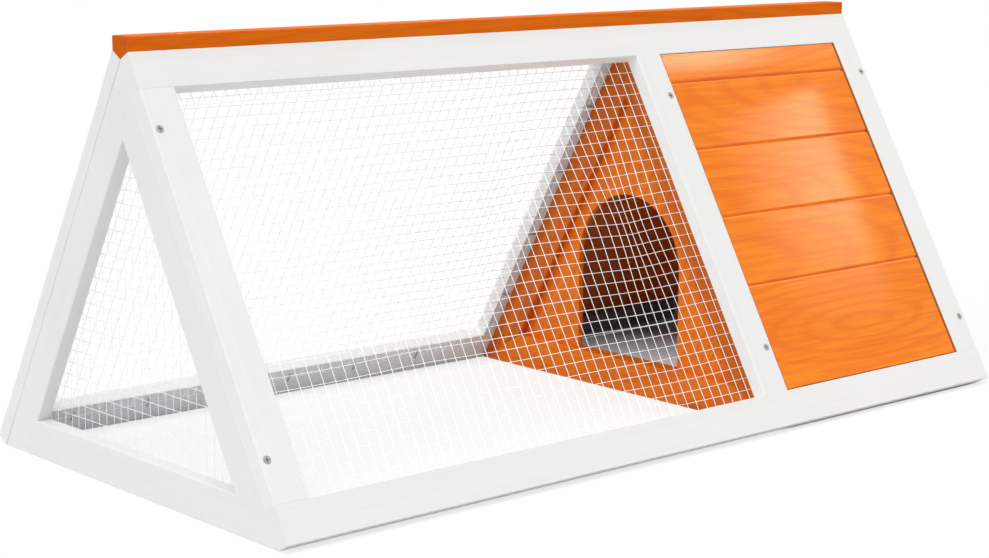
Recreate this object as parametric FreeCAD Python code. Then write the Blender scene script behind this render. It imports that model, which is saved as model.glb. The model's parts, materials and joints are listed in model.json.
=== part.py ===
# A-frame animal cage: two batten panels leaning on three triangular frames, a mesh run and a boarded end.
# X runs along the ridge from the run to the boarded end, the front faces -Y, and the ground is at Z = 0.
import FreeCAD, Part
import math
import os

V = FreeCAD.Vector

# Overall sizes
length = 980.0
panel_width = 460.0
slope = 60.0

# Battens of every frame, and the tenons that join the side panels' stiles to their rails
batten_w = 36.0
batten_t = 15.0
partition_t = 21.0
run_opening = 583.0
tenon_len = 12.0
tenon_t = 5.0
tenon_shoulder = 6.0
tenon_clear = 0.1

# Splines across the mitres of the triangular frames
spline_t = 3.0
spline_across = 20.0
spline_along = 24.0
spline_clear = 0.1

# Ridge cap and its nails
cap_side = 13.5
nail_d = 2.4
nail_head_d = 5.0
nail_head_t = 1.2
nail_len = 28.0
nail_inset = 60.0
nail_stations = 4

# Boards of the front infill and of the door
board_recess = 0.6
bottom_board = 117.5
board_pitch = 78.7
board_min = 12.0
board_chamfer = 2.5
tongue_t = 4.0
tongue_len = 4.0
tongue_clear = 0.2
board_gap = 1.0
board_end_gap = 3.0

# Cleats behind the boards
cleat_w = 25.0
cleat_t = 10.0
cleat_inset = 30.0
cleat_lap = 14.0
ledge_over_stop = 15.0
ledge_top_gap = 6.0

# Panels that sit in grooves of the partition and the right end
panel_t = 7.0
panel_recess = 3.0
doorway_recess = 9.0
panel_tongue = 6.0
panel_clear = 0.2
arch_w = 154.0
arch_over = 107.4

# Wire mesh and the staples that hold it
wire_d = 1.0
net_pitch = 30.0
mesh_lap = 13.0
mesh_short = 8.0
staple_w = 10.0
staple_wire = 1.2
staple_leg = 9.0
staple_every = 3
staple_clear = 0.1

# Screws that hold the side panels to the triangular frames
screw_d = 4.0
screw_head_d = 8.0
screw_len = 40.0
end_screw_inset = 75.5
mid_screw_inset = 85.0
screw_clear = 0.1
recess_w = 1.1
recess_len = 4.6
recess_depth = 1.6

# Small screws of the cleats, ledges, stop and hinges
small_d = 3.0
small_head_d = 6.0
small_len = 18.0
hinge_screw_len = 12.0

# Door in the back of the sleeping end, its stop, hinges and turn button
door_gap = 3.0
stop_lap = 20.0
stop_cover = 8.0
stop_t = 8.0
stop_clear = 0.3
stop_end_gap = 2.0
stop_screw_inset = 40.0
stop_screws = 4
hinge_len = 40.0
hinge_inset = 60.0
leaf_w = 20.0
leaf_t = 1.5
leaf_clear = 0.4
knuckle_r = 3.0
knuckle_lift = 0.3
knuckle_gap = 0.3
pin_r = 1.5
pin_clear = 0.05
pin_head_r = 2.4
pin_head_t = 1.0
hinge_screw_out = 12.0
hinge_screw_apart = 24.0
button_len = 50.0
button_w = 16.0
button_t = 8.0
button_lift = 0.5
button_up = 23.0
button_clear = 0.1
button_head_d = 9.0
button_head_t = 3.0
button_grip = 14.0

# Derived places
cos_s = math.cos(math.radians(slope))
sin_s = math.sin(math.radians(slope))
half_base = panel_width * cos_s
apex = panel_width * sin_s
left_in = batten_w
mid_left = batten_w + run_opening
mid_right = mid_left + batten_w
right_in = length - batten_w
board_t = batten_t - board_recess
low = batten_w
high = panel_width - batten_w
partition_x = mid_right - partition_t
right_x = length - batten_t
screw_x = [batten_t / 2, mid_right - batten_t / 2, length - batten_t / 2]

parts = {}


# Shapes in a side panel's own space: x along the cage, u up the slope, w outwards from its inner face
def slab(x0, x1, u0, u1, w0, w1):
    return Part.makeBox(x1 - x0, u1 - u0, w1 - w0, V(x0, u0, w0))


def bar(points, x0, x1):
    corners = [V(x0, u, w) for u, w in points]
    return Part.Face(Part.makePolygon(corners + corners[:1])).extrude(V(x1 - x0, 0, 0))


def on_front(shape):
    place = FreeCAD.Placement(V(-length / 2, -half_base, 0), FreeCAD.Rotation(V(1, 0, 0), slope))
    return shape.transformed(place.toMatrix(), True)


def on_back(shape):
    return on_front(shape).mirror(V(0, 0, 0), V(0, 1, 0))


# Shapes in the cage's own space, as sections across it that run from one x to another
def prism(points, x0, x1):
    corners = [V(x0 - length / 2, y, z) for y, z in points]
    return Part.Face(Part.makePolygon(corners + corners[:1])).extrude(V(x1 - x0, 0, 0))


def triangle(inset):
    foot = inset / math.tan(math.radians(slope / 2))
    return [(-half_base + foot, inset), (half_base - foot, inset), (0.0, apex - inset / cos_s)]


def cut_all(shape, cutters):
    return shape.cut(Part.makeCompound(cutters)) if cutters else shape


# A countersunk screw with its head at the origin, pointing down; grow makes its hole
def screw_body(d, head_d, long, grow=0.0):
    sink = (head_d - d) / 2
    head = Part.makeCone(head_d / 2 + grow, d / 2 + grow, sink, V(0, 0, 0), V(0, 0, -1))
    shank = Part.makeCylinder(d / 2 + grow, long - sink - d, V(0, 0, -sink), V(0, 0, -1))
    tip = Part.makeCone(d / 2 + grow, d / 8 + grow, d, V(0, 0, d - long), V(0, 0, -1))
    return head.fuse([shank, tip]).removeSplitter()


def cross_recess(head_d):
    share = head_d / screw_head_d
    arm = Part.makeBox(recess_len * share, recess_w * share, recess_depth * share)
    arm.translate(V(-recess_len * share / 2, -recess_w * share / 2, -recess_depth * share))
    turned = arm.copy()
    turned.rotate(V(0, 0, 0), V(0, 0, 1), 90)
    return arm.fuse(turned)


def screw(d, head_d, long):
    return screw_body(d, head_d, long).cut(cross_recess(head_d))


def at(shape, x, u, w, inside=False):
    moved = shape.copy()
    if inside:
        moved.rotate(V(0, 0, 0), V(1, 0, 0), 180)
    moved.translate(V(x, u, w))
    return moved


# Side panel screws: two at each triangular frame, square to the panel, through it into the frame's leg
panel_screw = screw(screw_d, screw_head_d, screw_len)
panel_hole = screw_body(screw_d, screw_head_d, screw_len, screw_clear)
screw_insets = [end_screw_inset, mid_screw_inset, end_screw_inset]
screw_spots = [(x, u) for x, inset in zip(screw_x, screw_insets) for u in (inset, panel_width - inset)]
panel_screws = Part.makeCompound([at(panel_screw, x, u, batten_t) for x, u in screw_spots])
panel_holes = [at(panel_hole, x, u, batten_t) for x, u in screw_spots]
parts["front_panel_screws"] = on_front(panel_screws)
parts["back_panel_screws"] = on_back(panel_screws)

# Ridge cap: its V underside seats in the notch between the two panels' square-cut top edges
cap_half = batten_t * sin_s
cap_low = apex + batten_t * cos_s
cap_top = cap_low + cap_side
cap_points = [(0.0, apex), (cap_half, cap_low), (cap_half, cap_top)]
cap_points += [(-cap_half, cap_top), (-cap_half, cap_low)]
nail_step = (length - 2 * nail_inset) / (nail_stations - 1)
nail_x = [nail_inset + k * nail_step for k in range(nail_stations)]
nail_spots = [(x, side * cap_half / 2) for x in nail_x for side in (-1, 1)]


def nail(x, y, grow=0.0):
    top = V(x - length / 2, y, cap_top)
    head = Part.makeCylinder(nail_head_d / 2 + grow, nail_head_t + grow, top, V(0, 0, -1))
    shank = Part.makeCylinder(nail_d / 2 + grow, nail_len + grow, top, V(0, 0, -1))
    return head.fuse(shank).removeSplitter()


nail_holes = [nail(x, y, screw_clear) for x, y in nail_spots]
parts["cap_nails"] = Part.makeCompound([nail(x, y) for x, y in nail_spots])
parts["ridge_cap"] = cut_all(prism(cap_points, 0, length), nail_holes)


# Batten frame of a side panel: two full-length rails, and three stiles tenoned between them
def stile(x0):
    body = slab(x0, x0 + batten_w, low, high, 0, batten_t)
    return body.fuse(tenons(x0, 0.0)).removeSplitter()


def tenons(x0, grow):
    x_lo = x0 + tenon_shoulder - grow
    x_hi = x0 + batten_w - tenon_shoulder + grow
    w_lo = (batten_t - tenon_t) / 2 - grow
    w_hi = (batten_t + tenon_t) / 2 + grow
    foot = slab(x_lo, x_hi, low - tenon_len - grow, low, w_lo, w_hi)
    head = slab(x_lo, x_hi, high, high + tenon_len + grow, w_lo, w_hi)
    return [foot, head]


stile_x = {"left_stile": 0.0, "mid_stile": mid_left, "right_stile": right_in}
mortises = [cutter for x0 in stile_x.values() for cutter in tenons(x0, tenon_clear)]
battens = {name: cut_all(stile(x0), panel_holes) for name, x0 in stile_x.items()}
battens["bottom_rail"] = cut_all(slab(0, length, 0, low, 0, batten_t), mortises)
battens["top_rail"] = cut_all(slab(0, length, high, panel_width, 0, batten_t), mortises)

# Mesh of a side panel's run: one holed sheet on the frame's inner face, lapped over the battens
# It stops short of the partition, so that its staples clear the partition's legs
net_x0 = left_in - mesh_lap
net_x1 = partition_x - mesh_short
net_u0 = low - mesh_lap
net_u1 = high + mesh_lap
net_nx = round((net_x1 - net_x0) / net_pitch)
net_nu = round((net_u1 - net_u0) / net_pitch)
net_dx = (net_x1 - net_x0 - wire_d) / net_nx
net_du = (net_u1 - net_u0 - wire_d) / net_nu


def holed_sheet(outline, holes, along):
    wires = [Part.makePolygon(ring + ring[:1]) for ring in [outline] + holes]
    return Part.makeFace(wires, "Part::FaceMakerBullseye").extrude(along)


def rectangle(x0, x1, u0, u1):
    return [V(x0, u0, 0), V(x1, u0, 0), V(x1, u1, 0), V(x0, u1, 0)]


side_holes = []
for i in range(net_nx):
    for j in range(net_nu):
        x0 = net_x0 + wire_d + i * net_dx
        u0 = net_u0 + wire_d + j * net_du
        side_holes.append(rectangle(x0, x0 + net_dx - wire_d, u0, u0 + net_du - wire_d))
side_net = holed_sheet(rectangle(net_x0, net_x1, net_u0, net_u1), side_holes, V(0, 0, -wire_d))


# A staple astride a wire at the origin, its crown along x and its legs pointing up; grow makes its holes
def staple_legs(grow=0.0):
    legs = []
    for side in (-1, 1):
        middle = side * (staple_w - staple_wire) / 2
        reach = staple_wire / 2 + grow
        corner = V(middle - reach, -reach, -wire_d)
        legs.append(Part.makeBox(2 * reach, 2 * reach, staple_leg + wire_d + grow, corner))
    return legs


def staple():
    corner = V(-staple_w / 2, -staple_wire / 2, -wire_d - staple_wire)
    crown = Part.makeBox(staple_w, staple_wire, staple_wire, corner)
    return crown.fuse(staple_legs()).removeSplitter()


def turned_to(shape, x, u, degrees):
    moved = shape.copy()
    moved.rotate(V(0, 0, 0), V(0, 0, 1), degrees)
    moved.translate(V(x, u, 0))
    return moved


staple_one = staple()
staple_hole = Part.makeCompound(staple_legs(staple_clear))
staple_spots = []
for i in range(1, net_nx - 1, staple_every):
    x = net_x0 + wire_d / 2 + (i + 0.5) * net_dx
    staple_spots += [(x, net_u0 + wire_d / 2, 90), (x, net_u1 - wire_d / 2, 90)]
for j in range(2, net_nu - 1, staple_every):
    u = net_u0 + wire_d / 2 + (j + 0.5) * net_du
    staple_spots += [(net_x0 + wire_d / 2, u, 0), (net_x1 - wire_d / 2, u, 0)]
side_staples = Part.makeCompound([turned_to(staple_one, *spot) for spot in staple_spots])
staple_holes = [turned_to(staple_hole, *spot) for spot in staple_spots]
parts["front_run_mesh"] = on_front(side_net)
parts["back_run_mesh"] = on_back(side_net)
parts["front_run_staples"] = on_front(side_staples)
parts["back_run_staples"] = on_back(side_staples)
battens = {name: cut_all(shape, staple_holes) for name, shape in battens.items()}

# Boards: tongued on the upper edge, grooved on the lower, with a V joint on the outer face
board_joints = []
joint_u = low + bottom_board
while joint_u < high - board_min:
    board_joints.append(joint_u)
    joint_u += board_pitch


def board(x0, x1, u0, u1, w_in, below, above):
    w_out = w_in + board_t
    t_lo = w_in + (board_t - tongue_t) / 2
    t_hi = t_lo + tongue_t
    g_lo = t_lo - tongue_clear
    g_hi = t_hi + tongue_clear
    g_top = u0 + tongue_len + tongue_clear
    foot = [(u0, w_in), (u0, w_out)]
    if below:
        foot = [(u0, w_in), (u0, g_lo), (g_top, g_lo), (g_top, g_hi), (u0, g_hi)]
        foot += [(u0, w_out - board_chamfer), (u0 + board_chamfer, w_out)]
    head = [(u1, w_out), (u1, w_in)]
    if above:
        head = [(u1 - board_chamfer, w_out), (u1, w_out - board_chamfer), (u1, t_hi)]
        head += [(u1 + tongue_len, t_hi), (u1 + tongue_len, t_lo), (u1, t_lo), (u1, w_in)]
    return bar(foot + head, x0, x1)


def board_wall(x0, x1, u0, u1, w_in):
    edges = [u0] + board_joints + [u1]
    last = len(edges) - 2
    wall = [board(x0, x1, edges[k], edges[k + 1], w_in, k > 0, k < last) for k in range(last + 1)]
    return wall, [(edges[k] + edges[k + 1]) / 2 for k in range(last + 1)]


small_screw = screw(small_d, small_head_d, small_len)
small_hole = screw_body(small_d, small_head_d, small_len, screw_clear)

# Front infill: fixed boards, flush with the frame's inner face, on two cleats that lap the rails
front_x = (mid_right + board_gap, right_in - board_end_gap)
front_boards, front_mids = board_wall(*front_x, low + board_gap, high - board_gap, 0.0)
cleat_x = {"left": mid_right + cleat_inset, "right": right_in - cleat_inset - cleat_w}
cleat_heights = [low - cleat_lap / 2] + front_mids + [high + cleat_lap / 2]
cleat_spots = [(x0 + cleat_w / 2, u) for x0 in cleat_x.values() for u in cleat_heights]
cleat_holes = [at(small_hole, x, u, -cleat_t, True) for x, u in cleat_spots]
for k, shape in enumerate(front_boards):
    parts[f"front_board_{k + 1}"] = on_front(cut_all(shape, cleat_holes))
for side, x0 in cleat_x.items():
    cleat = slab(x0, x0 + cleat_w, low - cleat_lap, high + cleat_lap, -cleat_t, 0)
    parts[f"front_cleat_{side}"] = on_front(cut_all(cleat, cleat_holes))
cleat_screws = [at(small_screw, x, u, -cleat_t, True) for x, u in cleat_spots]
parts["front_cleat_screws"] = on_front(Part.makeCompound(cleat_screws))
for name, shape in battens.items():
    parts[f"front_{name}"] = cut_all(on_front(cut_all(shape, cleat_holes)), nail_holes)

# Door: the same boards, flush with the frame's outer face, held together by two ledges inside
door_x0 = mid_right + door_gap
door_x1 = right_in - door_gap
door_u0 = low + door_gap
door_u1 = high - door_gap
door_w = batten_t - board_t
door_boards, door_mids = board_wall(door_x0, door_x1, door_u0, door_u1, door_w)
ledge_u0 = low + stop_cover + ledge_over_stop
ledge_u1 = door_u1 - ledge_top_gap
ledge_heights = [min(max(u, ledge_u0 + small_head_d), ledge_u1 - small_head_d) for u in door_mids]
ledge_spots = [(x0 + cleat_w / 2, u) for x0 in cleat_x.values() for u in ledge_heights]
ledge_holes = [at(small_hole, x, u, door_w - cleat_t, True) for x, u in ledge_spots]
for side, x0 in cleat_x.items():
    ledge = slab(x0, x0 + cleat_w, ledge_u0, ledge_u1, door_w - cleat_t, door_w)
    parts[f"door_ledge_{side}"] = on_back(cut_all(ledge, ledge_holes))
ledge_screws = [at(small_screw, x, u, door_w - cleat_t, True) for x, u in ledge_spots]
parts["door_ledge_screws"] = on_back(Part.makeCompound(ledge_screws))

# Door stop: a rebated strip on the inside of the bottom rail, with a lip behind the door's lower edge
stop_u0 = low - stop_lap
stop_u1 = low + stop_cover
stop_lip = door_w - stop_clear
stop_points = [(stop_u0, 0), (low, 0), (low, stop_lip)]
stop_points += [(stop_u1, stop_lip), (stop_u1, -stop_t), (stop_u0, -stop_t)]
stop_x0 = mid_right + stop_end_gap
stop_x1 = right_in - stop_end_gap
stop_step = (stop_x1 - stop_x0 - 2 * stop_screw_inset) / (stop_screws - 1)
stop_screw_x = [stop_x0 + stop_screw_inset + k * stop_step for k in range(stop_screws)]
stop_holes = [at(small_hole, x, low - stop_lap / 2, -stop_t, True) for x in stop_screw_x]
parts["door_stop"] = on_back(cut_all(bar(stop_points, stop_x0, stop_x1), stop_holes))
stop_row = [at(small_screw, x, low - stop_lap / 2, -stop_t, True) for x in stop_screw_x]
parts["door_stop_screws"] = on_back(Part.makeCompound(stop_row))

# Hinges: surface leaves on the top rail and on the door, three knuckles and a headed pin on each
axis_u = high - door_gap / 2
axis_w = batten_t + knuckle_lift + knuckle_r
hinge_x = {"left": door_x0 + hinge_inset, "right": door_x1 - hinge_inset}
knuckle_len = (hinge_len - 2 * knuckle_gap) / 3
leaf_screw = screw(small_d, small_head_d, hinge_screw_len)
leaf_hole = screw_body(small_d, small_head_d, hinge_screw_len, screw_clear)


def knuckle(x0, long, direction):
    barrel = Part.makeCylinder(knuckle_r, long, V(x0, axis_u, axis_w), V(1, 0, 0))
    ends = sorted([axis_u, axis_u + direction * (knuckle_r + leaf_clear)])
    return [barrel, slab(x0, x0 + long, ends[0], ends[1], batten_t, batten_t + leaf_t)]


def leaf(x_mid, direction, starts, holes):
    x0 = x_mid - hinge_len / 2
    ends = sorted([axis_u + direction * (knuckle_r + leaf_clear), axis_u + direction * leaf_w])
    plate = slab(x0, x0 + hinge_len, ends[0], ends[1], batten_t, batten_t + leaf_t)
    tabs = [piece for start in starts for piece in knuckle(start, knuckle_len, direction)]
    bore = Part.makeCylinder(pin_r + pin_clear, hinge_len, V(x0, axis_u, axis_w), V(1, 0, 0))
    return cut_all(plate.fuse(tabs).removeSplitter().cut(bore), holes)


def hinge_pin(x_mid):
    x0 = x_mid - hinge_len / 2
    pin = Part.makeCylinder(pin_r, hinge_len, V(x0, axis_u, axis_w), V(1, 0, 0))
    head = Part.makeCylinder(pin_head_r, pin_head_t, V(x0 - pin_head_t, axis_u, axis_w), V(1, 0, 0))
    tail = Part.makeCylinder(pin_head_r, pin_head_t, V(x0 + hinge_len, axis_u, axis_w), V(1, 0, 0))
    return pin.fuse([head, tail]).removeSplitter()


def leaf_spots(x_mid, direction):
    u = axis_u + direction * hinge_screw_out
    return [(x_mid - hinge_screw_apart / 2, u), (x_mid + hinge_screw_apart / 2, u)]


top_of_leaf = batten_t + leaf_t
frame_leaf_spots = [spot for x in hinge_x.values() for spot in leaf_spots(x, 1)]
door_leaf_spots = [spot for x in hinge_x.values() for spot in leaf_spots(x, -1)]
frame_leaf_holes = [at(leaf_hole, x, u, top_of_leaf) for x, u in frame_leaf_spots]
door_leaf_holes = [at(leaf_hole, x, u, top_of_leaf) for x, u in door_leaf_spots]
for side, x_mid in hinge_x.items():
    x0 = x_mid - hinge_len / 2
    outer = [x0, x0 + 2 * (knuckle_len + knuckle_gap)]
    inner = [x0 + knuckle_len + knuckle_gap]
    parts[f"hinge_{side}_frame_leaf"] = on_back(leaf(x_mid, 1, outer, frame_leaf_holes))
    parts[f"hinge_{side}_door_leaf"] = on_back(leaf(x_mid, -1, inner, door_leaf_holes))
    parts[f"hinge_{side}_pin"] = on_back(hinge_pin(x_mid))
frame_leaf_screws = [at(leaf_screw, x, u, top_of_leaf) for x, u in frame_leaf_spots]
door_leaf_screws = [at(leaf_screw, x, u, top_of_leaf) for x, u in door_leaf_spots]
parts["hinge_frame_screws"] = on_back(Part.makeCompound(frame_leaf_screws))
parts["hinge_door_screws"] = on_back(Part.makeCompound(door_leaf_screws))
for k, shape in enumerate(door_boards):
    parts[f"door_board_{k + 1}"] = on_back(cut_all(shape, ledge_holes + door_leaf_holes))

# Turn button: lies along the bottom rail when released, and turns up over the door on its round-head screw
button_x = (door_x0 + door_x1) / 2
button_w0 = batten_t + button_lift
button_r = button_w / 2
button_tail = button_len - button_w
button_end = button_x - button_tail
button_w1 = button_w0 + button_t
button = slab(button_end, button_x, button_up - button_r, button_up + button_r, button_w0, button_w1)
for x in (button_x, button_end):
    button = button.fuse(Part.makeCylinder(button_r, button_t, V(x, button_up, button_w0)))
button_bore = Part.makeCylinder(screw_d / 2 + button_clear, button_t, V(button_x, button_up, button_w0))
parts["turn_button"] = on_back(button.removeSplitter().cut(button_bore))
head_w = button_w1 + button_clear
button_head = Part.makeCylinder(button_head_d / 2, button_head_t, V(0, 0, 0))
button_head = button_head.makeFillet(button_head_t * 0.6, [button_head.Edges[0]])
shank_len = head_w - batten_t + button_grip - screw_d
button_shank = Part.makeCylinder(screw_d / 2, shank_len, V(0, 0, 0), V(0, 0, -1))
button_tip = Part.makeCone(screw_d / 2, screw_d / 8, screw_d, V(0, 0, -shank_len), V(0, 0, -1))
slot = cross_recess(screw_head_d)
slot.translate(V(0, 0, button_head_t))
button_screw = button_head.fuse([button_shank, button_tip]).removeSplitter().cut(slot)
parts["turn_button_screw"] = on_back(at(button_screw, button_x, button_up, head_w))
hole_depth = button_grip + screw_clear
hole_top = V(button_x, button_up, batten_t)
button_hole = Part.makeCylinder(screw_d / 2 + screw_clear, hole_depth, hole_top, V(0, 0, -1))
back_holes = stop_holes + frame_leaf_holes + [button_hole]
for name, shape in battens.items():
    parts[f"back_{name}"] = cut_all(on_back(cut_all(shape, back_holes)), nail_holes)

# Triangular frames: three mitred battens each, with a spline across every mitre
outer = triangle(0.0)
inner = triangle(batten_w)
frame_members = {
    "bottom_rail": [outer[0], outer[1], inner[1], inner[0]],
    "front_leg": [outer[0], outer[2], inner[2], inner[0]],
    "back_leg": [outer[1], outer[2], inner[2], inner[1]],
}


def spline(corner, middle, grow):
    along = V(0, inner[corner][0] - outer[corner][0], inner[corner][1] - outer[corner][1])
    centre = V(0, inner[corner][0] + outer[corner][0], inner[corner][1] + outer[corner][1]) * 0.5
    size = V(spline_t + 2 * grow, spline_along + 2 * grow, spline_across + 2 * grow)
    plate = Part.makeBox(size.x, size.y, size.z, size * -0.5)
    plate.rotate(V(0, 0, 0), V(1, 0, 0), math.degrees(math.atan2(along.z, along.y)))
    plate.translate(centre + V(middle - length / 2, 0, 0))
    return plate


frame_x = {"left_end": 0.0, "partition": partition_x, "right_end": right_x}
frame_t = {"left_end": batten_t, "partition": partition_t, "right_end": batten_t}
frame_mid = {name: x0 + frame_t[name] / 2 for name, x0 in frame_x.items()}
splines = {name: [spline(k, middle, 0.0) for k in range(3)] for name, middle in frame_mid.items()}
parts["mitre_splines"] = Part.makeCompound([one for trio in splines.values() for one in trio])
leg_holes = [on_front(hole) for hole in panel_holes] + [on_back(hole) for hole in panel_holes]

# Panels of the partition and the right end, tongued into a groove round the inside of their frames
grooves = {"left_end": []}
for name in ("partition", "right_end"):
    face_x = frame_x[name] + (doorway_recess if name == "partition" else batten_t - panel_recess - panel_t)
    plate = prism(triangle(batten_w - panel_tongue), face_x, face_x + panel_t)
    groove_x = (face_x - panel_clear, face_x + panel_t + panel_clear)
    grooves[name] = [prism(triangle(batten_w - panel_tongue - panel_clear), *groove_x)]
    if name == "partition":
        radius = arch_w / 2
        spring = inner[2][1] - arch_over - radius
        rise = [(radius, spring), (0.0, spring + radius), (-radius, spring), (-radius, low), (radius, low)]
        right, crown, left, foot_left, foot_right = [V(face_x - length / 2, y, z) for y, z in rise]
        arch = [Part.Arc(right, crown, left).toShape()]
        arch += Part.makePolygon([left, foot_left, foot_right, right]).Edges
        plate = plate.cut(Part.Face(Part.Wire(arch)).extrude(V(panel_t, 0, 0)))
    parts[f"{name}_panel"] = plate

# Mesh of the left end: the run's grid again, cut off along the legs, on the frame's inner face
net_edge = triangle(batten_w - mesh_lap)
net_rim = triangle(batten_w - mesh_lap + wire_d)
net_step = net_pitch
end_face = batten_t - length / 2


def clipped(ring, triangle_points):
    for k in range(3):
        (ay, az), (by, bz) = triangle_points[k], triangle_points[(k + 1) % 3]
        side = [(by - ay) * (z - az) - (bz - az) * (y - ay) for y, z in ring]
        kept = []
        for i, (y, z) in enumerate(ring):
            y_next, z_next = ring[(i + 1) % len(ring)]
            here, there = side[i], side[(i + 1) % len(ring)]
            if here >= 0:
                kept.append((y, z))
            if here * there < 0:
                share = here / (here - there)
                kept.append((y + share * (y_next - y), z + share * (z_next - z)))
        ring = kept
        if len(ring) < 3:
            return []
    return ring


def ring_area(ring):
    pairs = zip(ring, ring[1:] + ring[:1])
    return abs(sum(a[0] * b[1] - b[0] * a[1] for a, b in pairs)) / 2


end_holes = []
columns = math.ceil(half_base / net_step)
rows = math.ceil(apex / net_step)
for i in range(-columns, columns):
    for j in range(rows):
        y0 = i * net_step + wire_d / 2
        z0 = net_rim[0][1] + j * net_step
        y1 = y0 + net_step - wire_d
        z1 = z0 + net_step - wire_d
        ring = clipped([(y0, z0), (y1, z0), (y1, z1), (y0, z1)], net_rim)
        if ring and ring_area(ring) > net_step * wire_d:
            end_holes.append([V(end_face, y, z) for y, z in ring])
end_outline = [V(end_face, y, z) for y, z in net_edge]
parts["left_end_mesh"] = holed_sheet(end_outline, end_holes, V(wire_d, 0, 0))


# Staples of the left end: astride the net's rim, where their inner legs miss the net's own wires
def end_staple(shape, y, z, lean):
    moved = shape.copy()
    moved.rotate(V(0, 0, 0), V(0, 0, 1), 90)
    moved.rotate(V(0, 0, 0), V(0, 1, 0), -90)
    moved.rotate(V(0, 0, 0), V(1, 0, 0), lean)
    moved.translate(V(end_face, y, z))
    return moved


leg_reach = (staple_w - staple_wire) / 2
end_spots = []
for i in range(-columns + 1, columns, staple_every):
    y = (i + 0.5) * net_step
    if abs(y) < net_rim[1][0] - staple_w:
        end_spots.append((y, net_edge[0][1] + wire_d / 2, 90))
for j in range(1, rows, staple_every):
    z = net_rim[0][1] + (j + 0.5) * net_step
    y = (net_edge[2][1] - z) * cos_s / sin_s - wire_d / 2 / sin_s
    y_leg = y - leg_reach * sin_s
    beside = min(y_leg % net_step, net_step - y_leg % net_step)
    if z < net_rim[2][1] - staple_w * 3 and beside > staple_wire + wire_d:
        end_spots += [(y, z, 90 - slope), (-y, z, slope - 90)]
parts["left_end_staples"] = Part.makeCompound([end_staple(staple_one, *spot) for spot in end_spots])
end_staple_holes = [end_staple(staple_hole, *spot) for spot in end_spots]

# The three frames' battens, with their grooves, spline slots and holes
for name, x0 in frame_x.items():
    slots = [spline(k, frame_mid[name], spline_clear) for k in range(3)]
    cutters = slots + grooves[name] + leg_holes + (end_staple_holes if name == "left_end" else [])
    for member, points in frame_members.items():
        parts[f"{name}_{member}"] = cut_all(prism(points, x0, x0 + frame_t[name]), cutters)

os.makedirs("parts", exist_ok=True)
for name, shape in parts.items():
    shape.exportStep(f"parts/{name}.step")
box = Part.makeCompound(list(parts.values())).BoundBox
print(f"{len(parts)} parts, {box.XLength:.1f} x {box.YLength:.1f} x {box.ZLength:.1f} mm")
for name, shape in parts.items():
    if not shape.isValid() or any(solid.Volume <= 0 for solid in shape.Solids):
        print("check", name)
print("net gaps", len(side_holes), len(end_holes))
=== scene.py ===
import json
import math

import bmesh
import bpy
from mathutils import Euler, Matrix, Vector

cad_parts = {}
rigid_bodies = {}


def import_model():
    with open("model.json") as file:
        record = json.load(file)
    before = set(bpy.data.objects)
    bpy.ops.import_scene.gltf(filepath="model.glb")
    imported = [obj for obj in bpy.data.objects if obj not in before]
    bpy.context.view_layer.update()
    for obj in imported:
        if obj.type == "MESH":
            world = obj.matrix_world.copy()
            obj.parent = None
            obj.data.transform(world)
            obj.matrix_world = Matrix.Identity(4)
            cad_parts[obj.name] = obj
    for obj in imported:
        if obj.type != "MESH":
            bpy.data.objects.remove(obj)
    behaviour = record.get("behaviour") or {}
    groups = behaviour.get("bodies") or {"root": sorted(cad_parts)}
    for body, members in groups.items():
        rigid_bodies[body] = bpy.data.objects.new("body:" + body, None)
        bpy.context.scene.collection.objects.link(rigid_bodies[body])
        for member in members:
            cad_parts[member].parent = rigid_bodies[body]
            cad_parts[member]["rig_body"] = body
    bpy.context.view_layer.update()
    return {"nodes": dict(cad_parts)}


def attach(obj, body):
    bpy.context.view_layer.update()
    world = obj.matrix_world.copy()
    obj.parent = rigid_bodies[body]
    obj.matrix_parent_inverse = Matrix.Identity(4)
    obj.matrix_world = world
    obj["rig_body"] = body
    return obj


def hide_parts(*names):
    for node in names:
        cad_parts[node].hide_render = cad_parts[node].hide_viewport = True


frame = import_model()
nodes = frame["nodes"]

# Side panels: white painted pine battens, two rails along each panel and three stiles tenoned between them.
# The paint is sprayed thin, so a faint grain still shows through it, and every arris is eased by sanding.
# Inner faces of the rails and of the back's middle stile carry painted shade, a cooler and greyer white for
# the cage's shade.
length = 0.980
batten = 0.036
slope = math.radians(60.0)
along_ridge = (0.0, 0.0, 0.0)
up_front = (0.0, -slope, math.radians(90.0))
up_back = (0.0, -slope, math.radians(-90.0))
across_cage = (0.0, 0.0, math.radians(90.0))
to_left = (-1.0, 0.0, 0.0)
into_front = (0.0, math.sin(slope), -math.cos(slope))
into_back = (0.0, -math.sin(slope), -math.cos(slope))
boards_end = length / 2 - batten
rail_radius = 0.0004
stile_radius = 0.0008
left_stile_radius = 0.0006
long_edge = 0.1


def colour(code):
    parts = [int(code[k:k + 2], 16) / 255 for k in (1, 3, 5)]
    return [p / 12.92 if p <= 0.04045 else ((p + 0.055) / 1.055) ** 2.4 for p in parts] + [1.0]


def add(tree, kind, feeds=None, **settings):
    node = tree.nodes.new("ShaderNode" + kind)
    for key, value in settings.items():
        setattr(node, key, value)
    for key, value in (feeds or {}).items():
        if isinstance(value, bpy.types.NodeSocket):
            tree.links.new(value, node.inputs[key])
        else:
            node.inputs[key].default_value = value
    return node


def finish_named(name, roughness):
    material = bpy.data.materials.new(name)
    material.use_nodes = True
    shader = material.node_tree.nodes["Principled BSDF"]
    shader.inputs["Roughness"].default_value = roughness
    return material, material.node_tree, shader
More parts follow.
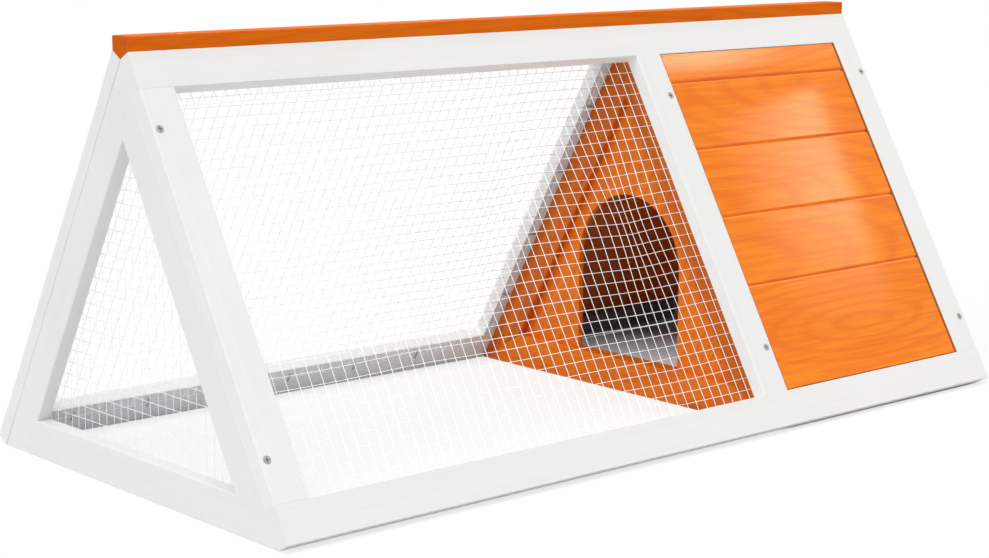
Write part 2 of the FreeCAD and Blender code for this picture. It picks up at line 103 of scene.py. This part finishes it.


# Satin paint over pine: almost even white, with grain lines 5 mm apart that the paint has half filled.
# An edge beside the boards may carry a painted shade line, and one face may get a tone of its own as painted
# light: cooler and greyer in shade, brighter where lit.
def painted_pine(name, turn, thin="#EBEBEA", full="#F1F1F0", shade_line_from=None, faced=None, painted_light_tone=None):
    grain_size = (0.22, 0.005, 0.005)
    grain_depth = 0.0006
    patches_per_metre = 9.0
    paint_ior = 1.5
    material, tree, shader = finish_named(name, 0.45)
    shader.inputs["IOR"].default_value = paint_ior
    spot = add(tree, "TexCoord")
    place = spot.outputs["Object"]
    lines = add(tree, "Mapping", {"Vector": place, "Rotation": turn, "Scale": grain_size},
                vector_type="TEXTURE")
    grain = add(tree, "TexNoise", {"Vector": lines.outputs["Vector"], "Scale": 1.0, "Detail": 3.0,
                                   "Roughness": 0.55})
    cloud = add(tree, "TexNoise", {"Vector": place, "Scale": patches_per_metre, "Detail": 2.0})
    mixed = add(tree, "Math", {0: grain.outputs["Fac"], 1: cloud.outputs["Fac"]}, operation="ADD")
    tone = add(tree, "MapRange", {"Value": mixed.outputs["Value"], "From Min": 0.6, "From Max": 1.4})
    shown = add(tree, "Mix", {"Factor": tone.outputs["Result"], "A": colour(thin), "B": colour(full)},
                data_type="RGBA")
    # Painted shade: a dark brown line along the edge beside the boards, for the shade in the gap there.
    if shade_line_from:
        across = add(tree, "SeparateXYZ", {"Vector": place})
        line = add(tree, "MapRange", {"Value": across.outputs["X"], "From Min": shade_line_from + 0.0002,
                                      "From Max": shade_line_from + 0.0006, "To Min": 1.0, "To Max": 0.0})
        shown = add(tree, "Mix", {"Factor": line.outputs["Result"], "A": shown.outputs["Result"],
                                  "B": colour("#C58750")}, data_type="RGBA")
    # Painted light: one face gets its own tone, cooler and greyer in the cage's shade, brighter where it is
    # lit.
    if faced:
        facing = add(tree, "VectorMath", {0: spot.outputs["Normal"], 1: faced}, operation="DOT_PRODUCT")
        face = add(tree, "MapRange", {"Value": facing.outputs["Value"], "From Min": 0.7, "From Max": 0.95})
        shown = add(tree, "Mix", {"Factor": face.outputs["Result"], "A": shown.outputs["Result"],
                                  "B": colour(painted_light_tone)}, data_type="RGBA")
    tree.links.new(shown.outputs["Result"], shader.inputs["Base Color"])
    relief = add(tree, "Bump", {"Height": grain.outputs["Fac"], "Strength": 0.12, "Distance": grain_depth})
    tree.links.new(relief.outputs["Normal"], shader.inputs["Normal"])
    return material


# A sanded copy of a sawn piece: edges longer than the shortest are rounded over, and small holes stay crisp.
def eased(names, material, radius=0.0008, shortest=0.010):
    for name in names:
        body = bmesh.new()
        body.from_mesh(nodes[name].data)
        bmesh.ops.remove_doubles(body, verts=body.verts, dist=0.00001)
        bmesh.ops.dissolve_limit(body, angle_limit=math.radians(1.0), verts=body.verts, edges=body.edges)
        arrises = [edge for edge in body.edges if edge.is_manifold and edge.calc_length() > shortest
                   and edge.calc_face_angle() > math.radians(50.0)]
        bmesh.ops.bevel(body, geom=arrises, offset=radius, offset_type="OFFSET", segments=2, profile=0.5,
                        affect="EDGES", material=-1)
        mesh = bpy.data.meshes.new(name + "_eased")
        body.to_mesh(mesh)
        body.free()
        mesh.materials.append(material)
        piece = bpy.data.objects.new(name + "_eased", mesh)
        bpy.context.scene.collection.objects.link(piece)
        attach(piece, nodes[name]["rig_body"])
        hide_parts(name)


paint_front = painted_pine("satin paint up the front", up_front)
paint_back = painted_pine("satin paint up the back", up_back)
# The rails' inner faces carry painted shade, a cooler and greyer white.
for side, inner_face in (("front", into_front), ("back", into_back)):
    shaded_rail_paint = painted_pine(f"satin paint with painted shade along the {side}", along_ridge, faced=inner_face,
                               painted_light_tone="#E2E6E8")
    eased([side + "_top_rail", side + "_bottom_rail"], shaded_rail_paint, rail_radius, long_edge)
# The front's left stile is painted a lighter white, as painted light on its end and face.
lit_left_paint = painted_pine("satin paint with painted light", up_front, "#EEEEED", "#F4F4F3")
eased(["front_left_stile"], lit_left_paint, left_stile_radius, long_edge)
# The middle stile's left edge is painted a brighter white, a painted highlight where light falls on it.
lit_edge_paint = painted_pine("satin paint with a painted highlight edge", up_front, faced=to_left, painted_light_tone="#F5F5F4")
eased(["front_mid_stile"], lit_edge_paint, stile_radius, long_edge)
# The right stile's edge beside the boards has a painted shade line, dark brown as the gap there looks.
shade_line_paint = painted_pine("satin paint with a painted shade line", up_front, shade_line_from=boards_end)
eased(["front_right_stile"], shade_line_paint, stile_radius, long_edge)
eased(["back_left_stile", "back_right_stile"], paint_back, stile_radius, long_edge)
# The back's middle stile has painted shade on its inner face, a cool grey-blue white.
shaded_back_paint = painted_pine("satin paint with painted shade inside the back", up_back, faced=into_back, painted_light_tone="#D9EAF4")
eased(["back_mid_stile"], shaded_back_paint, stile_radius, long_edge)

# End frames: three painted battens mitred into a triangle at each end, the right one round a stained panel.
# Thin splines across the mitres are glued in out of sight.
leg_radius = 0.0014
bottom_radius = 0.0008
paint_across = painted_pine("satin paint across the cage", across_cage)
for end in ("left_end", "right_end"):
    eased([end + "_front_leg"], paint_front, leg_radius, long_edge)
    eased([end + "_back_leg"], paint_back, leg_radius, long_edge)
    eased([end + "_bottom_rail"], paint_across, bottom_radius, long_edge)


# Bare pine: pale yellow wood with darker late-wood lines about 4 mm apart, planed and left unfinished.
def bare_pine(name, turn):
    grain_size = (0.18, 0.004, 0.004)
    grain_depth = 0.0005
    wood_ior = 1.5
    material, tree, shader = finish_named(name, 0.62)
    shader.inputs["IOR"].default_value = wood_ior
    spot = add(tree, "TexCoord")
    lines = add(tree, "Mapping", {"Vector": spot.outputs["Object"], "Rotation": turn, "Scale": grain_size},
                vector_type="TEXTURE")
    grain = add(tree, "TexNoise", {"Vector": lines.outputs["Vector"], "Scale": 1.0, "Detail": 4.0,
                                   "Distortion": 0.4})
    tone = add(tree, "MapRange", {"Value": grain.outputs["Fac"], "From Min": 0.35, "From Max": 0.68})
    wood = add(tree, "Mix", {"Factor": tone.outputs["Result"], "A": colour("#B98C57"),
                             "B": colour("#DDBB8A")}, data_type="RGBA")
    tree.links.new(wood.outputs["Result"], shader.inputs["Base Color"])
    relief = add(tree, "Bump", {"Height": grain.outputs["Fac"], "Strength": 0.2, "Distance": grain_depth})
    tree.links.new(relief.outputs["Normal"], shader.inputs["Normal"])
    return material


def dress(names, material):
    for name in names:
        nodes[name].data.materials.clear()
        nodes[name].data.materials.append(material)


dress(["mitre_splines"], bare_pine("spline pine", across_cage))


# Stained pine: orange translucent stain under a clear coat, so fibres and growth rings show deeper orange.
# Fibres lie 1.2 mm apart unless a piece has its own, and rings 10 mm apart in long ovals round the heart.
# An arris facing up the panel gets a painted highlight in paler orange, and end grain drinks more stain.
def stained_pine(name, turn, pale, deep, heart, roughness=0.3, knots=0.0, up=None, coat=0.2,
                 fibre_size=(0.05, 0.0012, 0.0012), figure=0.325):
    log_shape = (5.0, 1.0, 1.0)
    patch_size = (0.16, 0.03, 0.03)
    ring_gap = 0.010
    wave_factor = 0.314
    ring_share = 0.16
    patch_share = 0.5
    middle_tone = 0.875
    grain_depth = 0.0003
    coat_ior = 1.5
    material, tree, shader = finish_named(name, roughness)
    shader.inputs["IOR"].default_value = coat_ior
    shader.inputs["Specular IOR Level"].default_value = coat
    spot = add(tree, "TexCoord")
    place = spot.outputs["Object"]
    lines = add(tree, "Mapping", {"Vector": place, "Rotation": turn, "Scale": fibre_size},
                vector_type="TEXTURE")
    fine = add(tree, "TexNoise", {"Vector": lines.outputs["Vector"], "Scale": 1.0, "Detail": 3.0,
                                  "Roughness": 0.6})
    log = add(tree, "Mapping", {"Vector": place, "Location": heart, "Rotation": turn, "Scale": log_shape},
              vector_type="TEXTURE")
    rings = add(tree, "TexWave", {"Vector": log.outputs["Vector"], "Scale": wave_factor / ring_gap,
                                  "Distortion": 2.0, "Detail": 2.0, "Detail Scale": 0.5},
                wave_type="RINGS", rings_direction="SPHERICAL", wave_profile="SIN")
    late = add(tree, "MapRange", {"Value": rings.outputs["Fac"], "From Min": 0.0, "From Max": 0.45})
    patchy = add(tree, "Mapping", {"Vector": place, "Location": heart, "Rotation": turn, "Scale": patch_size},
                 vector_type="TEXTURE")
    cloud = add(tree, "TexNoise", {"Vector": patchy.outputs["Vector"], "Scale": 1.0, "Detail": 2.0})
    ringed = add(tree, "Math", {0: late.outputs["Result"], 1: ring_share, 2: fine.outputs["Fac"]},
                 operation="MULTIPLY_ADD")
    clouded = add(tree, "Math", {0: cloud.outputs["Fac"], 1: patch_share, 2: ringed.outputs["Value"]},
                  operation="MULTIPLY_ADD")
    tone = add(tree, "MapRange", {"Value": clouded.outputs["Value"], "From Min": middle_tone - figure,
                                  "From Max": middle_tone + figure})
    shown = add(tree, "Mix", {"Factor": tone.outputs["Result"], "A": colour(deep), "B": colour(pale)},
                data_type="RGBA")
    if knots:
        spread = add(tree, "Mapping", {"Vector": place, "Location": heart, "Rotation": turn,
                                       "Scale": (knots * 1.6, knots, knots)}, vector_type="TEXTURE")
        dots = add(tree, "TexVoronoi", {"Vector": spread.outputs["Vector"], "Scale": 1.0})
        knot = add(tree, "MapRange", {"Value": dots.outputs["Distance"], "From Min": 0.05, "From Max": 0.2,
                                      "To Min": 0.55, "To Max": 0.0})
        shown = add(tree, "Mix", {"Factor": knot.outputs["Result"], "A": shown.outputs["Result"],
                                  "B": colour("#7A3209")}, data_type="RGBA")
    # Painted highlight: faces turned up the panel, such as the lower side of each V joint, are paler orange.
    if up:
        facing = add(tree, "VectorMath", {0: spot.outputs["Normal"], 1: up}, operation="DOT_PRODUCT")
        thin = add(tree, "MapRange", {"Value": facing.outputs["Value"], "From Min": 0.4, "From Max": 0.65,
                                      "To Max": 0.6})
        shown = add(tree, "Mix", {"Factor": thin.outputs["Result"], "A": shown.outputs["Result"],
                                  "B": colour("#FFB46E")}, data_type="RGBA")
    along = Euler(turn).to_matrix() @ Vector((1.0, 0.0, 0.0))
    cut = add(tree, "VectorMath", {0: spot.outputs["Normal"], 1: along}, operation="DOT_PRODUCT")
    either = add(tree, "Math", {0: cut.outputs["Value"]}, operation="ABSOLUTE")
    drunk = add(tree, "MapRange", {"Value": either.outputs["Value"], "From Min": 0.7, "From Max": 0.95,
                                   "To Max": 0.45})
    shown = add(tree, "Mix", {"Factor": drunk.outputs["Result"], "A": shown.outputs["Result"],
                              "B": colour("#A8480C")}, data_type="RGBA")
    tree.links.new(shown.outputs["Result"], shader.inputs["Base Color"])
    relief = add(tree, "Bump", {"Height": ringed.outputs["Value"], "Strength": 0.015,
                                "Distance": grain_depth})
    tree.links.new(relief.outputs["Normal"], shader.inputs["Normal"])
    return material


end_stain = stained_pine("stained end panel", up_front, "#F2872F", "#DB6618", (0.0, 0.06, 0.05))
dress(["right_end_panel"], end_stain)

# Partition: a stained triangle of mitred battens round a thinner panel, with an arched doorway sawn into it.
# It stands in the cage's shade. Its battens have knots about 90 mm apart, and its panel is clear wood.
knot_gap = 0.09
partition_radius = 0.0006
partition_roughness = 0.4
partition_stains = {
    "partition_front_leg": (up_front, "#E67A0E", "#C55504"),
    "partition_back_leg": (up_back, "#E47713", "#C25306"),
    "partition_bottom_rail": (across_cage, "#FA8A15", "#DC6407"),
    "partition_panel": (up_back, "#FF8E17", "#E36808"),
}
for k, (name, (grain_turn, pale, deep)) in enumerate(partition_stains.items()):
    clear_panel = name == "partition_panel"
    heart = (0.0, 0.07 * k, 0.05)
    knots = 0.0 if clear_panel else knot_gap
    shortest_arris = 0.0 if clear_panel else 0.010
    stain = stained_pine(name.replace("_", " ") + " stain", grain_turn, pale, deep, heart,
                         partition_roughness, knots)
    eased([name], stain, partition_radius, shortest_arris)

# Ridge cap: one stained batten along the top, planed to a V below, nailed down into both top rails.
# It is duller than the boards, because it has only a thin clear coat.
cap_heart = (0.0, 0.0, 0.30)
cap_stain = stained_pine("ridge cap stain", along_ridge, "#F27C1C", "#DF620C", cap_heart, 0.5, coat=0.02)
eased(["ridge_cap"], cap_stain)

# Front boards: five stained boards with V joints fill the front of the sleeping end, fixed to cleats behind.
# The bottom one is the widest, and the heart of its tree lies close behind, so its rings open into arches.
# Their fibres are drawn 3.6 mm apart, coarser than in the wood, so that they show.
board_pale = "#FF8C0E"
board_deep = "#F47706"
board_fibres = (0.13, 0.0036, 0.0036)
board_roughness = 0.06
hearts = {
    1: (0.322, -0.192, 0.085),
    2: (0.10, -0.10, 0.13),
    3: (0.12, -0.09, 0.20),
    4: (0.55, -0.02, 0.32),
    5: (0.1, 0.0, 0.42),
}
crossbar_heart = (0.3, 0.0, 0.1)
up_front_panel = (0.0, math.cos(slope), math.sin(slope))


# The boards' faces turned up their panel carry the painted highlight.
def board_stain(name, heart, upper_arris):
    return stained_pine(name, along_ridge, board_pale, board_deep, heart, board_roughness, up=upper_arris,
                        fibre_size=board_fibres, figure=0.15)


for k, heart in hearts.items():
    dress([f"front_board_{k}"], board_stain(f"front board stain {k}", heart, up_front_panel))
cleat_stain = stained_pine("cleat stain", up_front, board_pale, board_deep, crossbar_heart)
eased(["front_cleat_left", "front_cleat_right"], cleat_stain)

# Door: the same boards on the back of the sleeping end, held together by two ledges inside.
# It closes against a stop inside the bottom rail, whose grey is painted shade for the dark of the doorway.
up_back_panel = (0.0, -math.cos(slope), math.sin(slope))
stop_radius = 0.0006
for k, heart in hearts.items():
    back_heart = (heart[0], -heart[1], heart[2])
    dress([f"door_board_{k}"], board_stain(f"door board stain {k}", back_heart, up_back_panel))
ledge_stain = stained_pine("ledge stain", up_back, board_pale, board_deep, crossbar_heart)
eased(["door_ledge_left", "door_ledge_right"], ledge_stain)
# The stop's grey is painted shade in place of its white paint.
stop_shade_paint = painted_pine("painted shade on the stop", along_ridge, "#7C8286", "#868C90")
eased(["door_stop"], stop_shade_paint, stop_radius)


# Fittings: countersunk screws, nails, staples and butt hinges of steel, driven into or screwed to the wood.
# Zinc plate makes them a dull grey metal with a fine speckle, 1.2 mm across.
def zinc_plate(name, dark, bright, roughness):
    speckle_size = 0.0012
    spread = 0.08
    material, tree, shader = finish_named(name, roughness)
    shader.inputs["Metallic"].default_value = 1.0
    spot = add(tree, "TexCoord")
    speckle = add(tree, "TexNoise", {"Vector": spot.outputs["Object"], "Scale": 1 / speckle_size,
                                     "Detail": 2.0})
    metal = add(tree, "Mix", {"Factor": speckle.outputs["Fac"], "A": colour(dark), "B": colour(bright)},
                data_type="RGBA")
    tree.links.new(metal.outputs["Result"], shader.inputs["Base Color"])
    dull = add(tree, "MapRange", {"Value": speckle.outputs["Fac"], "To Min": roughness - spread,
                                  "To Max": roughness + spread})
    tree.links.new(dull.outputs["Result"], shader.inputs["Roughness"])
    return material


zinc = zinc_plate("zinc plate", "#8F9294", "#C9CACA", 0.36)
dress(["front_panel_screws", "back_panel_screws", "front_cleat_screws"], zinc)
dress(["door_ledge_screws", "door_stop_screws", "turn_button_screw"], zinc)
dress(["hinge_frame_screws", "hinge_door_screws", "cap_nails"], zinc)
dress(["front_run_staples", "back_run_staples", "left_end_staples"], zinc)
for side in ("left", "right"):
    dress([f"hinge_{side}_{piece}" for piece in ("frame_leaf", "door_leaf", "pin")], zinc)

# Turn button: a short stained bar with round ends, held to the bottom rail by one screw.
# It turns up over the door's lower edge.
button_radius = 0.001
button_stain = stained_pine("turn button stain", along_ridge, "#EE7A20", "#DB600F", (0.2, 0.2, 0.1), 0.34)
eased(["turn_button"], button_stain, button_radius, 0.0)

# Wire mesh: half-inch welded netting of 0.55 mm galvanised wire, stapled inside the frames of the run.
# It was cut from a roll, so it lies a little uneven, and one side is pinched where it was pulled tight.
half_base = 0.230
panel_width = 0.460
batten_deep = 0.015
lap = 0.013
mid_lap = 0.007
run_end = 0.619
wire = 0.00055
square = 0.0127
upright_back = 0.4 * wire
level_back = wire
held_margin = 0.03
sway = 0.0011
ripple = 0.0006
pinch_x = 0.533
pinch_u = 0.250
pinch_half_width = 0.045
pinch_half_height = 0.062
pinch_pull = 0.38
pinch_drop = 0.003
galvanised = zinc_plate("galvanised wire", "#F3F5F6", "#FCFEFF", 0.5)


def wire_piece(name, node, lines):
    shape = bpy.data.curves.new(name, "CURVE")
    shape.dimensions = "3D"
    shape.bevel_depth = wire / 2
    shape.bevel_resolution = 1
    shape.use_fill_caps = True
    for line in lines:
        spline = shape.splines.new("POLY")
        spline.points.add(len(line) - 1)
        for point, place in zip(spline.points, line):
            point.co = (*place, 1.0)
    drawn = bpy.data.objects.new(name + " path", shape)
    mesh = bpy.data.meshes.new_from_object(drawn)
    bpy.data.objects.remove(drawn)
    for face in mesh.polygons:
        face.use_smooth = True
    piece = bpy.data.objects.new(name, mesh)
    bpy.context.scene.collection.objects.link(piece)
    mesh.materials.append(galvanised)
    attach(piece, "cage")
    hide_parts(node)


def uneven(x, u, side):
    sway_x = sway * math.sin(9.0 * u + 6.0 * x + side) + ripple * math.sin(23.0 * x - 17.0 * u)
    sway_u = sway * math.sin(11.0 * x + side) + ripple * math.sin(31.0 * x + 9.0 * u)
    pinch = math.exp(-((x - pinch_x) / pinch_half_width) ** 2 - ((u - pinch_u) / pinch_half_height) ** 2)
    return x + sway_x - pinch_pull * (x - pinch_x) * pinch, u + sway_u - pinch_drop * pinch


# A place on a side panel: x along it from its left end, u up its slope and w outwards from its inner face.
def on_panel(x, u, w, side):
    y = -half_base + u * math.cos(slope) - w * math.sin(slope)
    return Vector((x - length / 2, -side * y, u * math.sin(slope) + w * math.cos(slope)))


def run_net(name, node, side):
    x0, x1 = batten - lap, run_end + mid_lap
    u0, u1 = batten - lap, panel_width - batten + lap
    columns, rows = round((x1 - x0) / square), round((u1 - u0) / square)
    xs = [x0 + wire / 2 + (x1 - x0 - wire) * k / columns for k in range(columns + 1)]
    us = [u0 + wire / 2 + (u1 - u0 - wire) * k / rows for k in range(rows + 1)]

    def held(x, u, w):
        rim = min(x - batten, run_end - x, u - batten, panel_width - batten - u)
        free = min(max(rim / held_margin, 0.0), 1.0)
        moved = uneven(x, u, side)
        return on_panel(x + (moved[0] - x) * free, u + (moved[1] - u) * free, w, side)

    upright = [[held(x, u, -upright_back) for u in us] for x in xs]
    level = [[held(x, u, -level_back) for x in xs] for u in us]
    wire_piece(name, node, upright + level)


run_net("front_run_netting", "front_run_mesh", -1)
run_net("back_run_netting", "back_run_mesh", 1)

# The left end's netting is the same wire, stapled inside the triangle of battens.
# It is cut off along the legs, so its wires end on the slope.
foot = batten - lap
peak = panel_width * math.sin(slope) - 2 * foot
half_foot = (peak - foot) / math.tan(slope)
face_x = batten_deep - length / 2
wave = 0.0008
upright, level = [], []
for k in range(-math.floor(half_foot / square), math.floor(half_foot / square) + 1):
    y = k * square
    top = peak - abs(y) * math.tan(slope)
    steps = max(round((top - foot) / square), 1)
    heights = [foot + (top - foot) * j / steps for j in range(steps + 1)]
    upright.append([Vector((face_x + upright_back, y + wave * math.sin(14.0 * z + k), z)) for z in heights])
for j in range(1, math.floor((peak - foot) / square)):
    z = foot + j * square
    reach = (peak - z) / math.tan(slope)
    steps = max(round(2 * reach / square), 1)
    widths = [-reach + 2 * reach * k / steps for k in range(steps + 1)]
    level.append([Vector((face_x + level_back, y, z + wave * math.sin(17.0 * y + j))) for y in widths])
wire_piece("left_end_netting", "left_end_mesh", upright + level)

# Studio ground: a sheet of white paper that glows a little to the eye, so it stays white round the cage.
# Inside the sleeping end its glow is painted light that fades away from the doorway, and the back half is a
# cool painted shade.
# The edges of these bands lie under the feet of the partition, the right end and the side panels.
floor_half = 30.0
floor_z = -0.0005
partition_foot = (0.152, 0.165)
right_end_foot = (0.476, 0.488)
panel_foot = (0.2305, 0.2315)
back_half = (0.0, 0.05)
doorway_sill = (0.165, 0.0, 0.0)
doorway_fade = (0.10, 0.31)
open_glow = 0.7
doorway_painted_light = 0.4
ground = bmesh.new()
bmesh.ops.create_grid(ground, x_segments=1, y_segments=1, size=floor_half)
floor_mesh = bpy.data.meshes.new("studio floor")
ground.to_mesh(floor_mesh)
ground.free()
floor = bpy.data.objects.new("studio_floor", floor_mesh)
bpy.context.scene.collection.objects.link(floor)
floor.location.z = floor_z


# What the eye meets, straight, mirrored or through something clear, as against what only lights the cage.
def seen_by_eye(tree):
    rays = add(tree, "LightPath")
    mirrored = add(tree, "Math", {0: rays.outputs["Is Camera Ray"], 1: rays.outputs["Is Glossy Ray"]},
                   operation="MAXIMUM")
    through = add(tree, "Math", {0: mirrored.outputs["Value"], 1: rays.outputs["Is Transmission Ray"]},
                  operation="MAXIMUM")
    return through.outputs["Value"]


paper, paper_tree, paper_shader = finish_named("white paper", 0.9)
paper_shader.inputs["Specular IOR Level"].default_value = 0.0
bright = seen_by_eye(paper_tree)
white_seen = add(paper_tree, "Mix", {"Factor": bright, "A": colour("#E2E2E2"), "B": colour("#F9F9F9")},
                 data_type="RGBA")
ground_spot = add(paper_tree, "TexCoord")
ground_place = add(paper_tree, "SeparateXYZ", {"Vector": ground_spot.outputs["Object"]})
beyond = add(paper_tree, "MapRange", {"Value": ground_place.outputs["X"], "From Min": partition_foot[0],
                                      "From Max": partition_foot[1]})
aside = add(paper_tree, "Math", {0: ground_place.outputs["Y"]}, operation="ABSOLUTE")
under = add(paper_tree, "MapRange", {"Value": aside.outputs["Value"], "From Min": panel_foot[0],
                                     "From Max": panel_foot[1], "To Min": 1.0, "To Max": 0.0})
short = add(paper_tree, "MapRange", {"Value": ground_place.outputs["X"], "From Min": right_end_foot[0],
                                     "From Max": right_end_foot[1], "To Min": 1.0, "To Max": 0.0})
between = add(paper_tree, "Math", {0: beyond.outputs["Result"], 1: short.outputs["Result"]},
              operation="MULTIPLY")
sleeping_end = add(paper_tree, "Math", {0: between.outputs["Value"], 1: under.outputs["Result"]},
                   operation="MULTIPLY")
far = add(paper_tree, "MapRange", {"Value": ground_place.outputs["Y"], "From Min": back_half[0],
                                   "From Max": back_half[1]})
far_side = add(paper_tree, "Math", {0: sleeping_end.outputs["Value"], 1: far.outputs["Result"]},
               operation="MULTIPLY")
# Painted shade: to the eye, the floor in the back half of the sleeping end turns a cool grey-blue.
painted_shade_share = add(paper_tree, "Math", {0: far_side.outputs["Value"], 1: bright}, operation="MULTIPLY")
shaded = add(paper_tree, "Mix", {"Factor": painted_shade_share.outputs["Value"], "A": white_seen.outputs["Result"],
                                 "B": colour("#DCEAF0")}, data_type="RGBA")
paper_tree.links.new(shaded.outputs["Result"], paper_shader.inputs["Base Color"])
away = add(paper_tree, "VectorMath", {0: ground_spot.outputs["Object"], 1: doorway_sill},
           operation="DISTANCE")
# Painted light: inside the sleeping end the glow fades from the doorway, like the light falling in through
# it.
fading = add(paper_tree, "MapRange", {"Value": away.outputs["Value"], "From Min": doorway_fade[0],
                                      "From Max": doorway_fade[1], "To Min": doorway_painted_light, "To Max": 0.0})
paler = add(paper_tree, "Mix", {"Factor": sleeping_end.outputs["Value"], "A": open_glow,
                                "B": fading.outputs["Result"]}, data_type="FLOAT")
share = add(paper_tree, "Math", {0: bright, 1: paler.outputs["Result"]}, operation="MULTIPLY")
glow = add(paper_tree, "Emission", {"Color": colour("#FFFFFF"), "Strength": 1.0})
seen_paper = add(paper_tree, "MixShader", {0: share.outputs["Value"], 1: paper_shader.outputs["BSDF"],
                                           2: glow.outputs["Emission"]})
paper_tree.links.new(seen_paper.outputs["Shader"], paper_tree.nodes["Material Output"].inputs["Surface"])
floor_mesh.materials.append(paper)

# Studio light: white surroundings that look brighter than they light, and two wide soft suns from the left.
# A strip light and a window light at the right are graded, because the glossy boards mirror them.
world = bpy.data.worlds.new("white studio")
world.use_nodes = True
bpy.context.scene.world = world
sky = world.node_tree
sky.nodes.clear()
dim = add(sky, "Background", {"Color": colour("#FFFFFF"), "Strength": 0.33})
white = add(sky, "Background", {"Color": colour("#FFFFFF"), "Strength": 1.0})
chosen = add(sky, "MixShader", {0: seen_by_eye(sky), 1: dim.outputs["Background"],
                                2: white.outputs["Background"]})
add(sky, "OutputWorld", {"Surface": chosen.outputs["Shader"]})


def lamp(name, kind, power, place, aim, roll=0.0, graded=(), **settings):
    light = bpy.data.lights.new(name, kind)
    light.energy = power
    for key, value in settings.items():
        setattr(light, key, value)
    if graded:
        light.use_nodes = True
        cloth = light.node_tree
        cloth.nodes.clear()
        weave = add(cloth, "NewGeometry")
        across = add(cloth, "SeparateXYZ", {"Vector": weave.outputs["Parametric"]})
        passed = 1.0
        for axis, start, end, low, high in graded:
            step = add(cloth, "MapRange", {"Value": across.outputs[axis], "From Min": start, "From Max": end,
                                           "To Min": low, "To Max": high})
            product = add(cloth, "Math", {0: step.outputs["Result"], 1: passed}, operation="MULTIPLY")
            passed = product.outputs["Value"]
        shine = add(cloth, "Emission", {"Strength": passed})
        add(cloth, "OutputLight", {"Surface": shine.outputs["Emission"]})
    holder = bpy.data.objects.new(name, light)
    bpy.context.scene.collection.objects.link(holder)
    holder.location = place
    facing = (Vector(aim) - Vector(place)).to_track_quat("-Z", "Y").to_matrix()
    holder.rotation_euler = (facing @ Matrix.Rotation(roll, 3, "Z")).to_euler()


cage_middle = (0.0, 0.0, 0.2)
wide_sun = math.radians(60.0)
warm = (1.0, 0.94, 0.68)
strip_grading = [("X", 0.0, 0.8, 0.0, 1.0), ("Y", 0.0, 0.55, 0.0, 1.0)]
window_grading = [("X", 0.315, 0.72, 1.0, 0.2)]
lamp("soft key", "SUN", 1.70, (-0.75, -1.25, 5.0), cage_middle, angle=wide_sun)
lamp("left fill", "SUN", 1.02, (-4.0, -0.6, 4.0), cage_middle, angle=wide_sun)
lamp("strip light", "AREA", 3.27, (2.514, -1.453, 1.594), (0.325, -0.182, 0.191), math.radians(-28.0),
     strip_grading, shape="RECTANGLE", size=0.26, size_y=0.59, color=warm)
lamp("window light", "AREA", 0.986, (2.459, -1.184, 1.928), (0.323, 0.040, 0.280), math.radians(-44.0),
     window_grading, shape="RECTANGLE", size=0.446, size_y=0.065, color=warm)

# Camera: it stands at the front left of the cage, a little above the ridge, and looks slightly down.
# Its place, turns and lens were solved from the corners of the front panel in the photograph.
camera_place = (-1.51751, -1.65629, 0.55558)
camera_data = bpy.data.cameras.new("photo camera")
camera_data.sensor_width = 36.0
camera_data.lens = 78.686
camera = bpy.data.objects.new("photo_camera", camera_data)
bpy.context.scene.collection.objects.link(camera)
swing = Matrix.Rotation(math.radians(-41.6639), 4, "Z")
tilt = Matrix.Rotation(math.radians(90.0 - 10.409), 4, "X")
roll = Matrix.Rotation(math.radians(0.3951), 4, "Z")
camera.matrix_world = Matrix.Translation(camera_place) @ swing @ tilt @ roll
bpy.context.scene.camera = camera
bpy.context.scene.view_settings.view_transform = "Standard"
